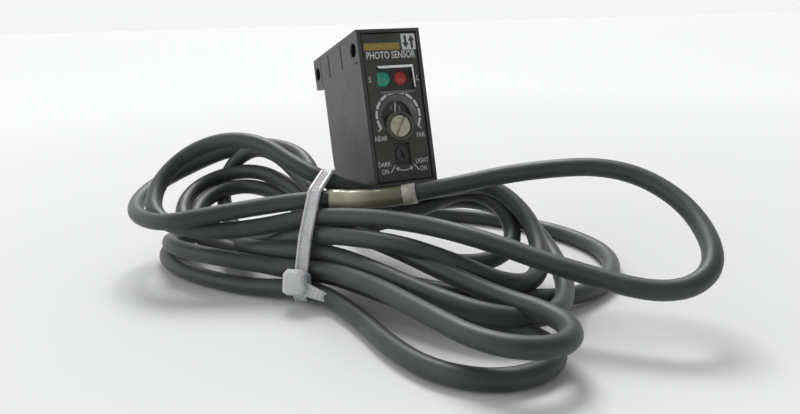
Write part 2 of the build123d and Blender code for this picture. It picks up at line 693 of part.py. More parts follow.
CABLE_PIECES = {
    "cable_lead": tube(lead_route()),
    "cable_loop": tube(loop_route()),
    "cable_tail": tube(tail_route()),
    "cable_hank": cable_hank(),
    "cable_tie": cable_tie(),
    "wiring_label": wiring_label(),
    "core_brown": core_end(-1, 1, -7.0),
    "core_black": core_end(-1, -1, -2.5),
    "core_blue": core_end(1, -1, 2.5),
    "core_pink": core_end(1, 1, 7.0),
}

for piece_name, piece in {**ROOT_PIECES, **MOVING_PIECES}.items():
    write(piece_name, piece)
for piece_name, piece in CABLE_PIECES.items():
    write(piece_name, piece, leaned=False)
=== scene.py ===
import json
import math

import bmesh
import bpy
from mathutils import Matrix, Vector


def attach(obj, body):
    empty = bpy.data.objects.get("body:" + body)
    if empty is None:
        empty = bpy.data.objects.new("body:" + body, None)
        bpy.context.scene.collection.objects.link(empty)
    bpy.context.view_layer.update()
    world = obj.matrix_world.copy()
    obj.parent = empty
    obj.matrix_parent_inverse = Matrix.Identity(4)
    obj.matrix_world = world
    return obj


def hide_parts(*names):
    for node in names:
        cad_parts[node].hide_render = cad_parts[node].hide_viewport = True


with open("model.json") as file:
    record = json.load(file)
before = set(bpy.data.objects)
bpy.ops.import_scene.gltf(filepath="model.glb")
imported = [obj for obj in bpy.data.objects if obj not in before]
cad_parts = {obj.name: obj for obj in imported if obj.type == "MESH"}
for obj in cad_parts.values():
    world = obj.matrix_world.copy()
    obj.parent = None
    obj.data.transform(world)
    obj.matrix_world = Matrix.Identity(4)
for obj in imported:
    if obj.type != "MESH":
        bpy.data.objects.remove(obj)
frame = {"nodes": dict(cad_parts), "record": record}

# Lengths below are in millimetres unless a name or comment says otherwise; MM turns them into
# metres. Places are in the frame's own axes, which the case leans back in.
MM = 0.001
FLOOR_Z = -66.7                       # the surface the cable lies on
LEAN = math.radians(14.0)             # how far the case leans back
FRONT_HOLE_Y, HOLE_Z = 4.4, 41.2      # front mounting hole in the case's own upright axes
# From the case's upright axes in millimetres to the frame's in metres.
UPRIGHT_TO_ROW = (
    Matrix.Scale(MM, 4)
    @ Matrix.Rotation(-LEAN, 4, "X")
    @ Matrix.Translation((0.0, -FRONT_HOLE_Y, -HOLE_Z))
)
CABLE_R = 2.5
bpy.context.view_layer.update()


# ---------------------------------------------------------------- camera and lights
CAMERA_AT = (-88.6, -213.4, 8.1)
CAMERA_FORWARD = (0.385, 0.891, -0.239)
CAMERA_RIGHT = (0.917, -0.397, -0.030)
LENS, SENSOR_WIDTH = 34.0, 36.0
NEAREST_SEEN_M = 0.01


def add_camera():
    """The camera, low and in front on the left, with a slight roll."""
    backward = -Vector(CAMERA_FORWARD).normalized()
    right = Vector(CAMERA_RIGHT)
    right = (right - backward * right.dot(backward)).normalized()
    up = backward.cross(right)
    data = bpy.data.cameras.new("camera")
    data.lens = LENS
    data.sensor_width = SENSOR_WIDTH
    data.clip_start = NEAREST_SEEN_M
    camera = bpy.data.objects.new("camera", data)
    bpy.context.scene.collection.objects.link(camera)
    turn = Matrix((right, up, backward)).transposed()
    camera.matrix_world = Matrix.Translation(Vector(CAMERA_AT) * MM) @ turn.to_4x4()
    bpy.context.scene.camera = camera


KEY_FROM = (0.18, 0.60, 0.78)
KEY_LEVEL, KEY_SPREAD = 2.2, math.radians(27)
SIDE_AT, SIDE_AIM = (-1.0, 0.1, 0.35), (0.0, 0.0, -0.03)      # in metres
SIDE_WATTS, SIDE_SIZE_M = 1.6, 0.6


def add_light(name, kind, level):
    """A light of a kind, not yet placed."""
    data = bpy.data.lights.new(name, kind)
    data.energy = level
    light = bpy.data.objects.new(name, data)
    bpy.context.scene.collection.objects.link(light)
    return light


def add_key_light():
    """Even soft light from above and behind, a little from the right."""
    key = add_light("key", "SUN", KEY_LEVEL)
    key.data.angle = KEY_SPREAD
    key.rotation_euler = Vector(KEY_FROM).to_track_quat("Z", "Y").to_euler()


def add_side_light():
    """A weak soft square light on the left, aimed at the object."""
    side = add_light("side", "AREA", SIDE_WATTS)
    side.data.size = SIDE_SIZE_M
    side.location = SIDE_AT
    side.rotation_euler = (Vector(SIDE_AIM) - Vector(SIDE_AT)).to_track_quat("-Z", "Y").to_euler()


def map_range(tree, value, from_range, to_range):
    """A value carried from one range to another, and held at both ends."""
    node = tree.nodes.new("ShaderNodeMapRange")
    node.inputs["From Min"].default_value, node.inputs["From Max"].default_value = from_range
    node.inputs["To Min"].default_value, node.inputs["To Max"].default_value = to_range
    tree.links.new(value, node.inputs["Value"])
    return node.outputs["Result"]


BRIGHT_SIDE = (-0.25, 0.75, -0.45)    # the way in which the room is brightest
BRIGHT_SIDE_RANGE = (-0.75, 0.50)     # from its dimmest to its brightest, along that way
HORIZON_BAND = (0.03, 0.12)           # where the bright horizon starts to fade and ends
DIM_LEVEL, BRIGHT_LEVEL = 0.34, 0.93
ROOM_TINT = (0.985, 0.992, 1.0, 1.0)


def add_room():
    """A pale room: brightest behind the object, low and on its left, with a bright horizon."""
    world = bpy.data.worlds.new("studio")
    bpy.context.scene.world = world
    world.use_nodes = True
    tree = world.node_tree
    place = tree.nodes.new("ShaderNodeTexCoord")
    towards = tree.nodes.new("ShaderNodeVectorMath")
    towards.operation = "DOT_PRODUCT"
    towards.inputs[1].default_value = BRIGHT_SIDE
    tree.links.new(place.outputs["Generated"], towards.inputs[0])
    parts = tree.nodes.new("ShaderNodeSeparateXYZ")
    tree.links.new(place.outputs["Generated"], parts.inputs["Vector"])
    horizon = map_range(tree, parts.outputs["Z"], HORIZON_BAND, (BRIGHT_LEVEL, 0.0))
    room = map_range(tree, towards.outputs["Value"], BRIGHT_SIDE_RANGE, (DIM_LEVEL, BRIGHT_LEVEL))
    brighter = tree.nodes.new("ShaderNodeMath")
    brighter.operation = "MAXIMUM"
    tree.links.new(horizon, brighter.inputs[0])
    tree.links.new(room, brighter.inputs[1])
    background = tree.nodes["Background"]
    background.inputs["Color"].default_value = ROOM_TINT
    tree.links.new(brighter.outputs["Value"], background.inputs["Strength"])


def add_studio():
    """The key light, the weak one on the left and the pale room."""
    add_key_light()
    add_side_light()
    add_room()


FLOOR_RINGS_M = (0.15, 0.4, 1.0, 3.0, 10.0, 30.0)
FLOOR_SIDES = 48
# Paper colours at their distances from the object, in metres; darker near the object and paler far away,
# this is painted light and shade.
NEAR_PAPER_SHADE, FAR_PAPER_LIT = (0.12, (0.73, 0.733, 0.735)), (0.60, (0.845, 0.848, 0.852))


def floor_material():
    """Plain pale paper with painted light and shade: darker near the object, paler far from it."""
    material, tree, shader = principled("floor_paper")
    distance = tree.nodes.new("ShaderNodeVectorMath")
    distance.operation = "LENGTH"
    tree.links.new(object_place(tree), distance.inputs[0])
    # painted light and shade: the ramp darkens the paper near the object and brightens it far away
    paper_light_and_shade = ramp(tree, distance.outputs["Value"], [NEAR_PAPER_SHADE, FAR_PAPER_LIT])
    tree.links.new(paper_light_and_shade, shader.inputs["Base Color"])
    add_relief(tree, shader, noise(tree, 1.5), strength=0.02, height=0.2)
    shader.inputs["Roughness"].default_value = 0.8
    shader.inputs["Specular IOR Level"].default_value = 0.1
    return material


def add_floor():
    """A wide round floor under the cable."""
    mesh = bmesh.new()
    rings = []
    for radius in FLOOR_RINGS_M:
        around = ring_of(radius, FLOOR_SIDES)
        rings.append([mesh.verts.new((x, y, FLOOR_Z * MM)) for x, y in around])
    mesh.faces.new(rings[0])
    for inner, outer in zip(rings, rings[1:]):
        for side in range(FLOOR_SIDES):
            following = (side + 1) % FLOOR_SIDES
            mesh.faces.new((inner[side], outer[side], outer[following], inner[following]))
    floor = mesh_object("floor", mesh)
    floor.data.materials.append(floor_material())


# ---------------------------------------------------------------- materials
def principled(name):
    """A new material; returns it with its tree and its Principled shader."""
    material = bpy.data.materials.new(name)
    material.use_nodes = True
    tree = material.node_tree
    return material, tree, tree.nodes["Principled BSDF"]


def object_place(tree, stretch=(1.0, 1.0, 1.0)):
    """Object coordinates in metres, stretched along the axes."""
    place = tree.nodes.new("ShaderNodeTexCoord")
    mapping = tree.nodes.new("ShaderNodeMapping")
    mapping.inputs["Scale"].default_value = stretch
    tree.links.new(place.outputs["Object"], mapping.inputs["Vector"])
    return mapping.outputs["Vector"]


def noise(tree, size, detail=4.0, stretch=(1.0, 1.0, 1.0)):
    """A noise whose features are about size millimetres across."""
    node = tree.nodes.new("ShaderNodeTexNoise")
    node.inputs["Scale"].default_value = 1.0 / (size * MM)
    node.inputs["Detail"].default_value = detail
    tree.links.new(object_place(tree, stretch), node.inputs["Vector"])
    return node.outputs["Fac"]


def ramp(tree, value, stops):
    """A colour ramp over a value; stops are (position, colour)."""
    node = tree.nodes.new("ShaderNodeValToRGB")
    elements = node.color_ramp.elements
    for index, (position, colour) in enumerate(stops):
        element = elements[index] if index < 2 else elements.new(position)
        element.position = position
        element.color = (*colour, 1.0)
    tree.links.new(value, node.inputs["Fac"])
    return node.outputs["Color"]


def add_relief(tree, shader, pattern, strength, height):
    """Small bumps that follow a pattern; the height is in millimetres."""
    relief = tree.nodes.new("ShaderNodeBump")
    relief.inputs["Strength"].default_value = strength
    relief.inputs["Distance"].default_value = height * MM
    tree.links.new(pattern, relief.inputs["Height"])
    tree.links.new(relief.outputs["Normal"], shader.inputs["Normal"])


GLOSS_SPREAD = 0.14                   # how far the roughness strays, as a share of itself


def surface(
    name, dark, light, roughness, mottle, grain=0.25, bump=0.1, stretch=(1.0, 1.0, 1.0), **sockets
):
    """A moulded, printed or metal surface: mottled colour, uneven gloss and a fine grain."""
    material, tree, shader = principled(name)
    patches = noise(tree, mottle, stretch=stretch)
    tree.links.new(ramp(tree, patches, [(0.35, dark), (0.65, light)]), shader.inputs["Base Color"])
    gloss_range = (roughness * (1.0 - GLOSS_SPREAD), roughness * (1.0 + GLOSS_SPREAD))
    gloss = map_range(tree, noise(tree, mottle * 0.3, stretch=stretch), (0.0, 1.0), gloss_range)
    tree.links.new(gloss, shader.inputs["Roughness"])
    grains = noise(tree, grain, detail=2.0, stretch=stretch)
    add_relief(tree, shader, grains, strength=bump, height=grain / 2)
    for socket, value in sockets.items():
        shader.inputs[socket.replace("_", " ")].default_value = value
    return material


def clear(name, tint, roughness, **sockets):
    """A see-through surface with faint haze, for windows, lenses and film."""
    paler = tuple(0.25 + 0.75 * channel for channel in tint)
    settings = {"Transmission_Weight": 0.92, "IOR": 1.47, **sockets}
    return surface(name, tint, paler, roughness, mottle=3.0, grain=0.3, bump=0.03, **settings)


TRACKS_PER_M = 260.0


def circuit_board_material():
    """Green solder resist over faint copper tracks."""
    material, tree, shader = principled("circuit_board")
    tracks = tree.nodes.new("ShaderNodeTexBrick")
    tracks.inputs["Scale"].default_value = TRACKS_PER_M
    tracks.inputs["Mortar Size"].default_value = 0.03
    tracks.inputs["Color1"].default_value = (0.012, 0.12, 0.05, 1.0)
    tracks.inputs["Color2"].default_value = (0.015, 0.15, 0.065, 1.0)
    tracks.inputs["Mortar"].default_value = (0.05, 0.26, 0.11, 1.0)
    tree.links.new(object_place(tree), tracks.inputs["Vector"])
    tree.links.new(tracks.outputs["Color"], shader.inputs["Base Color"])
    shader.inputs["Roughness"].default_value = 0.35
    return material


SLEEVE_FROM_X, SLEEVE_TO_X = -26.0, 2.0       # where the film's colours start and end
# Film colours along the sleeve, from the tie to its end ring; the pale stops near the tie are a painted
# highlight, the darker olive ones the film's own colour.
SLEEVE_FILM_AND_HIGHLIGHT = [
    (0.0, (0.42, 0.40, 0.27)), (0.22, (0.66, 0.64, 0.46)), (0.45, (0.24, 0.23, 0.13)),
    (0.80, (0.125, 0.125, 0.07)), (1.0, (0.18, 0.175, 0.11)),
]


def sleeve_film_and_highlight_material():
    """Yellowed clear film of the wiring sleeve, with a painted highlight that makes it paler near the tie.
    """
    material, tree, shader = principled("label_film")
    parts = tree.nodes.new("ShaderNodeSeparateXYZ")
    tree.links.new(object_place(tree), parts.inputs["Vector"])
    along = map_range(tree, parts.outputs["X"], (SLEEVE_FROM_X * MM, SLEEVE_TO_X * MM), (0.0, 1.0))
    # the pale start of this ramp, near the tie, is a painted highlight
    tree.links.new(ramp(tree, along, SLEEVE_FILM_AND_HIGHLIGHT), shader.inputs["Base Color"])
    add_relief(tree, shader, noise(tree, 0.8), strength=0.12, height=0.3)
    shader.inputs["Roughness"].default_value = 0.24
    shader.inputs["Coat Weight"].default_value = 0.5
    shader.inputs["Transmission Weight"].default_value = 0.2
    return material


# The two ends of each surface's colour, its roughness, the sizes of its mottle and grain in
# millimetres and the strength of its bumps. A name with a capital is a shader socket.
TURNED = {"mottle": 0.6, "grain": 0.2, "stretch": (0.15, 1.0, 1.0), "Metallic": 1.0}
CORE = {"roughness": 0.35, "mottle": 2.0, "bump": 0.04}
LENS_CAP = {"roughness": 0.22, "mottle": 1.2, "grain": 0.5, "bump": 0.05, "Emission_Strength": 0.22}
INK_COAT = {"roughness": 0.5, "mottle": 0.8, "grain": 0.1}
SURFACES = {
    # the moulded case and panel
    "case_plastic": dict(
        dark=(0.036, 0.037, 0.039), light=(0.050, 0.051, 0.054), roughness=0.46,
        mottle=9.0, grain=0.16, bump=0.22, Specular_IOR_Level=0.6,
    ),
    "panel_plastic": dict(
        dark=(0.038, 0.042, 0.034), light=(0.052, 0.056, 0.046), roughness=0.42, mottle=7.0, grain=0.14,
    ),
    "dial_plastic": dict(
        dark=(0.055, 0.058, 0.051), light=(0.075, 0.078, 0.070), roughness=0.45, mottle=3.0, grain=0.12,
    ),
    "slot_black": dict(
        dark=(0.004, 0.004, 0.004), light=(0.007, 0.007, 0.007), roughness=0.6, mottle=2.0,
    ),
    "black_plastic": dict(
        dark=(0.012, 0.012, 0.012), light=(0.020, 0.020, 0.019), roughness=0.42,
        mottle=4.0, grain=0.15, bump=0.12,
    ),
    "grey_plastic": dict(
        dark=(0.125, 0.130, 0.120), light=(0.165, 0.170, 0.158), roughness=0.42,
        mottle=3.0, grain=0.12, bump=0.15,
    ),
    "boss_plastic": dict(
        dark=(0.062, 0.064, 0.053), light=(0.086, 0.088, 0.074), roughness=0.36,
        mottle=3.0, grain=0.12, bump=0.08,
    ),
    "cream_plastic": dict(
        dark=(0.38, 0.37, 0.26), light=(0.52, 0.51, 0.38), roughness=0.30,
        mottle=1.6, grain=0.3, bump=0.06, Subsurface_Weight=0.2, Subsurface_Scale=0.0006,
    ),
    # milky_plastic: the white of the painted highlight on the indicator window's lip
    "milky_plastic": dict(
        dark=(0.78, 0.79, 0.79), light=(0.90, 0.90, 0.90), roughness=0.3, mottle=3.0, grain=0.2, bump=0.05,
    ),
    "white_plastic": dict(
        dark=(0.62, 0.62, 0.59), light=(0.72, 0.72, 0.70), roughness=0.42, mottle=3.0, grain=0.2, bump=0.05,
    ),
    "seal_rubber": dict(
        dark=(0.018, 0.018, 0.019), light=(0.030, 0.030, 0.031), roughness=0.62,
        mottle=2.5, grain=0.2, bump=0.2,
    ),
    # metal
    "bush_steel": dict(dark=(0.085, 0.085, 0.088), light=(0.14, 0.14, 0.145), roughness=0.42, **TURNED),
    "steel": dict(dark=(0.42, 0.42, 0.43), light=(0.58, 0.58, 0.59), roughness=0.32, **TURNED),
    "can_aluminium": dict(
        dark=(0.60, 0.61, 0.62), light=(0.74, 0.75, 0.76), roughness=0.28,
        mottle=0.8, grain=0.2, bump=0.06, Metallic=1.0,
    ),
    "tinned_copper": dict(
        dark=(0.52, 0.42, 0.34), light=(0.68, 0.60, 0.54), roughness=0.28,
        mottle=0.4, grain=0.12, bump=0.3, Metallic=1.0,
    ),
    # lamps, sensing face and electronics
    "sensing_window": dict(
        dark=(0.030, 0.004, 0.008), light=(0.050, 0.007, 0.012), roughness=0.10,
        mottle=12.0, grain=1.5, bump=0.02, Coat_Weight=0.4,
    ),
    "green_lens": dict(
        dark=(0.008, 0.14, 0.10), light=(0.015, 0.27, 0.19),
        Emission_Color=(0.015, 0.42, 0.26, 1.0), **LENS_CAP,
    ),
    "red_lens": dict(
        dark=(0.17, 0.012, 0.009), light=(0.33, 0.026, 0.02),
        Emission_Color=(0.55, 0.025, 0.015, 1.0), **LENS_CAP,
    ),
    "chip_plastic": dict(
        dark=(0.018, 0.018, 0.019), light=(0.028, 0.028, 0.030), roughness=0.5,
        mottle=1.5, grain=0.1, bump=0.2,
    ),
    # the cable and what is on it
    "cable_pvc": dict(
        dark=(0.024, 0.0295, 0.0285), light=(0.036, 0.0435, 0.0420), roughness=0.49,
        mottle=11.0, grain=0.5, Sheen_Weight=0.12, Sheen_Roughness=0.5,
    ),
    "nylon_white": dict(
        dark=(0.62, 0.64, 0.65), light=(0.74, 0.76, 0.76), roughness=0.32, mottle=4.0, grain=0.4, bump=0.05,
        Subsurface_Weight=0.45, Subsurface_Scale=0.0016, Transmission_Weight=0.18,
    ),
    # pale colour of the sleeve's end ring: a painted highlight
    "label_edge": dict(
        dark=(0.46, 0.43, 0.34), light=(0.66, 0.63, 0.54), roughness=0.3,
        mottle=1.2, grain=0.3, bump=0.08, Transmission_Weight=0.2,
    ),
    "core_brown": dict(dark=(0.10, 0.04, 0.018), light=(0.15, 0.06, 0.026), **CORE),
    "core_black": dict(dark=(0.012, 0.012, 0.012), light=(0.022, 0.022, 0.022), **CORE),
    "core_blue": dict(dark=(0.02, 0.08, 0.30), light=(0.03, 0.12, 0.40), **CORE),
    "core_pink": dict(dark=(0.58, 0.24, 0.28), light=(0.68, 0.32, 0.36), **CORE),
    "core_bundle": dict(
        dark=(0.10, 0.10, 0.11), light=(0.17, 0.17, 0.18), roughness=0.4, mottle=2.0, bump=0.04,
    ),
    # what is printed on the panel
    "legend_ink": dict(dark=(0.50, 0.52, 0.50), light=(0.66, 0.68, 0.66), **INK_COAT),
    "faint_ink": dict(dark=(0.30, 0.31, 0.30), light=(0.42, 0.43, 0.42), **INK_COAT),
    "ochre_ink": dict(
        dark=(0.24, 0.18, 0.035), light=(0.32, 0.25, 0.055), roughness=0.5, mottle=1.0, grain=0.1,
    ),
}


def make_materials():
    """A material for each of the record's slots, and for the inks and variants."""
    return {
        **{name: surface(name, **look) for name, look in SURFACES.items()},
        "clear_plastic": clear(
            "clear_plastic", (0.93, 0.96, 0.95), 0.035, Transmission_Weight=1.0, IOR=1.33,
        ),
        "lens_glass": clear("lens_glass", (0.90, 0.93, 0.93), 0.04),
        "filter_glass": clear("filter_glass", (0.35, 0.03, 0.06), 0.06),
        "circuit_board": circuit_board_material(),
        "label_film": sleeve_film_and_highlight_material(),
    }


# ---------------------------------------------------------------- mesh helpers
BEVEL_SEGMENTS, BEVEL_FROM = 3, math.radians(40)


def mesh_object(name, built, smooth=False, bevel=0.0):
    """An object from a bmesh in row coordinates, in metres; the bevel is in millimetres."""
    bmesh.ops.recalc_face_normals(built, faces=built.faces)
    mesh = bpy.data.meshes.new(name)
    built.to_mesh(mesh)
    built.free()
    for polygon in mesh.polygons:
        polygon.use_smooth = smooth
    made = bpy.data.objects.new(name, mesh)
    bpy.context.scene.collection.objects.link(made)
    if bevel:
        rounding = made.modifiers.new("rounding", "BEVEL")
        rounding.width = bevel * MM
        rounding.segments = BEVEL_SEGMENTS
        rounding.limit_method = "ANGLE"
        rounding.angle_limit = BEVEL_FROM
    return made


def settle(piece, material, body="housing"):
    """Gives a piece its material and the body it moves with."""
    piece.data.materials.clear()
    piece.data.materials.append(material)
    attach(piece, body)
    return piece


def add_prism(mesh, outline, y_front, y_back):
    """A flat shape on the panel, drawn as (x, z) points in the case's upright axes."""
    front = [mesh.verts.new(UPRIGHT_TO_ROW @ Vector((x, y_front, z))) for x, z in outline]
    back = [mesh.verts.new(UPRIGHT_TO_ROW @ Vector((x, y_back, z))) for x, z in outline]
    mesh.faces.new(front)
    mesh.faces.new(list(reversed(back)))
    for index in range(len(outline)):
        following = (index + 1) % len(outline)
        mesh.faces.new((front[index], back[index], back[following], front[following]))


INK = 0.03                            # how far print stands off its face
CAPITAL_SHARE = 0.72                  # a capital's height as a share of the font's size


def add_lettering(mesh, words, x, z, height, face_y, narrow, weight):
    """Generic words printed on a face, centred on (x, z) in the upright axes."""
    curve = bpy.data.curves.new("lettering", "FONT")
    curve.body = words
    curve.size = height / CAPITAL_SHARE
    curve.align_x = "CENTER"
    curve.align_y = "CENTER"
    curve.extrude = INK / 2
    curve.offset = weight
    curve.resolution_u = 3
    holder = bpy.data.objects.new("lettering", curve)
    letters = bpy.data.meshes.new_from_object(holder)
    stand_up = Matrix.Rotation(math.radians(90), 4, "X")
    place = UPRIGHT_TO_ROW @ Matrix.Translation((x, face_y - INK / 2, z)) @ stand_up
    letters.transform(place @ Matrix.Diagonal((narrow, 1.0, 1.0, 1.0)))
    mesh.from_mesh(letters)
    bpy.data.objects.remove(holder)
    bpy.data.curves.remove(curve)
    bpy.data.meshes.remove(letters)


def join_rings(mesh, rings, closed=False):
    """Faces from each ring to the next; an open row of rings gets its two ends."""
    pairs = list(zip(rings, rings[1:]))
    if closed:
        pairs.append((rings[-1], rings[0]))
    for first, second in pairs:
        for index in range(len(first)):
            following = (index + 1) % len(first)
            mesh.faces.new((first[index], first[following], second[following], second[index]))
    if not closed:
        mesh.faces.new(rings[0])
        mesh.faces.new(rings[-1])


def add_sweep(mesh, points, section):
    """Rings round a path; section(index, count) gives each ring's (side, out) offsets in metres."""
    count = len(points)
    side = None
    rings = []
    for index, point in enumerate(points):
        along = (points[min(index + 1, count - 1)] - points[max(index - 1, 0)]).normalized()
        if side is None:
            side = along.orthogonal().normalized()
        side = (side - along * side.dot(along)).normalized()
        out = along.cross(side)
        rings.append([mesh.verts.new(point + side * a + out * b) for a, b in section(index, count)])
    join_rings(mesh, rings)


def ring_of(radius, sides):
    """Offsets of a round section."""
    turns = [2 * math.pi * side / sides for side in range(sides)]
    return [(radius * math.cos(turn), radius * math.sin(turn)) for turn in turns]


# ---------------------------------------------------------------- cord
# Places in the tie, as (x, y, height above the surface).
FIRST_SLOT, SLOT_STEP, ROW_STEP = (-27.0, -12.0, 26.5), (-2.1, -1.6, -4.5), (2.9, 3.5, -2.6)


def front_slot(row):
    """Place of a strand in the tie's front row, counted down from the top."""
    return tuple(start + step * row for start, step in zip(FIRST_SLOT, SLOT_STEP))


def behind(place, rows=1):
    """The place one or more rows behind, which is a little lower."""
    return tuple(value + step * rows for value, step in zip(place, ROW_STEP))


TOP_SLOT = (-21.5, -5.5, 29.5)

# From the gland to the bare end, as (x, y, height above the surface). Each comment starts one lobe
# of the hank, which runs to the next place in the tie.
CORD_ROUTE = [
    # straight out of the gland, and the wide lobe that lies on the surface on the right
    (0, 23.9, 16.8), (0, 28.9, 9.4), (6, 44, 3), (22, 48, 2.6), (42, 34, 2.6), (56, 12, 2.6),
    (62, -10, 2.6), (60, -32, 2.6), (48, -50, 2.6), (30, -60, 3), (12, -60, 5), (-8, -46, 6),
    (-30, -14, 9.5),
    # left, inner
    (-45, 0, 9), (-56, 16, 11), (-60, 33, 15), (-54, 48, 20), (-42, 52, 24), (-31, 43, 26), (-26, 22, 24),
    (-25, 4, 22),
    behind(front_slot(0), 2),
    # right, the outer of the three short lobes under the case
    (-10, -10, 19), (8, -8, 20), (23, -14, 21), (31, -30, 17), (30, -47, 10), (22, -64, 6), (9, -75, 6),
    (-5, -72, 8), (-14, -57, 10), (-21, -37, 12), (-27, -22, 12.8),
    front_slot(3),
    # left, the low fold that lies on the surface
    (-45, -4, 12), (-48, 14, 10), (-46, 31, 8), (-49, 43, 6), (-59, 46, 4), (-66, 35, 2.8), (-64, 18, 2.6),
    (-56, 2, 2.6), (-47, -10, 2.6),
    front_slot(5),
    # right, the long low lobe nearest the camera
    (-31, -27, 3.4), (-28, -46, 2.6), (-28, -65, 2.6), (-25, -81, 2.6), (-16, -91, 2.6), (-4, -92, 2.6),
    (4, -86, 3), (3, -75, 3.5), (-6, -65, 4.5), (-15, -53, 6), (-22, -37, 6.5), (-26.5, -21, 6),
    behind(front_slot(4)),
    # left, innermost
    (-42, -2, 6), (-53, 12, 8), (-57, 30, 13), (-50, 44, 18), (-37, 46, 21), (-28, 33, 20), (-26, 13, 18.5),
    behind(front_slot(1), 2),
    # right, the smallest lobe
    (-12, -12, 16), (6, -11, 19), (19, -13, 24), (27, -23, 21), (25, -35, 12), (12, -41, 9), (-4, -36, 11),
    (-16, -24, 16),
    behind(front_slot(0)),
    # left, the narrow standing fold
    (-25, 8, 28), (-27, 26, 33), (-31, 43, 34), (-38, 52, 28), (-43, 50, 18), (-44, 34, 11), (-43, 14, 9),
    (-42, 0, 12),
    front_slot(2),
    # right, the middle of the short lobes
    (-16, -38, 19), (-4, -50, 15), (6, -59, 10), (17, -57, 8), (26, -46, 12), (29, -33, 20), (24, -20, 27),
    (10, -14, 25), (-6, -8, 23.5),
    TOP_SLOT,
    # left, the highest arch
    (-29, 4, 34), (-36, 16, 40), (-46, 27, 40), (-57, 33, 35), (-67, 28, 27), (-70, 14, 20), (-58, 3, 17),
    (-44, -4, 18),
    front_slot(1),
    # right, the big loop that stands off the hank and comes back through the wiring sleeve
    (-14, -34, 24), (0, -52, 22), (16, -74, 16), (30, -92, 13), (45, -91, 18), (53, -71, 28),
    (45, -53, 35.5), (24, -40, 34), (5, -28, 29), (-12, -19, 25.5),
    front_slot(0),
    # left, the widest turn round the outside
    (-42, -3, 24), (-57, 2, 22), (-69, 7, 20), (-75, 25, 20), (-69, 46, 22), (-56, 55, 26), (-40, 54, 32),
    (-26, 44, 35), (-18, 22, 32),
    behind(front_slot(1)),
    # right, the long lobe above the lowest one
    (-14, -33, 16), (-7, -50, 13), (0, -66, 10), (6, -80, 9.5), (4, -92, 9.5), (-6, -97, 10),
    (-17, -89, 10.5), (-21, -70, 11), (-24, -48, 11), (-29, -25, 9.2),
    front_slot(4),
    # round the back of the left lobes to the bare end
    (-46, -8, 9), (-57, 3, 10), (-65, 17, 10), (-64, 34, 8), (-52, 46, 4.5), (-37, 52, 2.6), (-24, 56, 2.6),
    (-12, 58, 2.6), (-2, 60, 2.6),
]
STEPS_PER_POINT, CABLE_ROUNDNESS = 10, 7


def on_surface(place):
    """A place given with its height above the surface, as a row point in metres."""
    x, y, height = place
    return Vector((x, y, FLOOR_Z + height)) * MM


def make_cord(material):
    """The cable: one smooth NURBS line from the gland through the whole hank."""
    curve = bpy.data.curves.new("cable", "CURVE")
    curve.dimensions = "3D"
    curve.resolution_u = STEPS_PER_POINT
    curve.bevel_depth = CABLE_R * MM
    curve.bevel_resolution = CABLE_ROUNDNESS
    curve.use_fill_caps = True
    spline = curve.splines.new("NURBS")
    spline.points.add(len(CORD_ROUTE) - 1)
    for point, place in zip(spline.points, CORD_ROUTE):
        point.co = (*on_surface(place), 1.0)
    spline.order_u = 3
    spline.use_endpoint_u = True
    spline.use_smooth = True
    cable = bpy.data.objects.new("cable", curve)
    bpy.context.scene.collection.objects.link(cable)
    settle(cable, material)
    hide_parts("cable_lead", "cable_loop", "cable_tail", "cable_hank")
    return cable


def centreline(cable):
    """Points along the cable's own line, read from its curve with no bevel."""
    plain = bpy.data.objects.new("line", cable.data.copy())
    plain.data.bevel_depth = 0.0
    line = bpy.data.meshes.new_from_object(plain)
    points = [vertex.co.copy() for vertex in line.vertices]
    bpy.data.objects.remove(plain)
    bpy.data.meshes.remove(line)
    return points


def stretch_before(points, end, start_gap, length):
    """The part of a line that ends start_gap before its point nearest to end, in metres."""
    index = min(range(len(points)), key=lambda i: (points[i] - end).length)
    travelled = 0.0
    kept = []
    while travelled < start_gap + length:
        if travelled >= start_gap:
            kept.append(points[index])
        travelled += (points[index] - points[index - 1]).length
        index -= 1
    return kept


# ---------------------------------------------------------------- tie and sleeve
TIE_HEADING = math.radians(-40.0)
TIE_ACROSS = Vector((-math.sin(TIE_HEADING), math.cos(TIE_HEADING), 0.0))
TIE_ALONG = Vector((math.cos(TIE_HEADING), math.sin(TIE_HEADING), 0.0))
TIE_TOP = on_surface(front_slot(0))
# Corners of the tied bundle, across and above its top strand; at the last one the strap bows out.
BUNDLE_CORNERS = [
    (-12.9, -22.5), (-5.8, -20.6), (6.5, -9.7), (9.1, -5.2), (8.5, 3.0), (0.0, 0.0), (-7.75, -10.5),
]
STRAP_WIDTH, STRAP_THICK = 3.7, 1.1
STRAP_CLEAR = 0.05                    # between the strands and the strap
STRAP_STEP = 0.24                     # between two sections of the strap
RIM_WIDTH, RIM_BEVEL, RIM_FOOT = 0.70, 0.12, 0.06
TOOTH_PITCH, TOOTH_HEIGHT = 0.95, 0.30
LADDER_DEPTH = 0.42                   # of the teeth's foot below the rims


def tie_point(across, up, along=0.0):
    """A point of the tie's plane, measured in millimetres from the top strand."""
    return TIE_TOP + (TIE_ACROSS * across + Vector((0.0, 0.0, up)) + TIE_ALONG * along) * MM


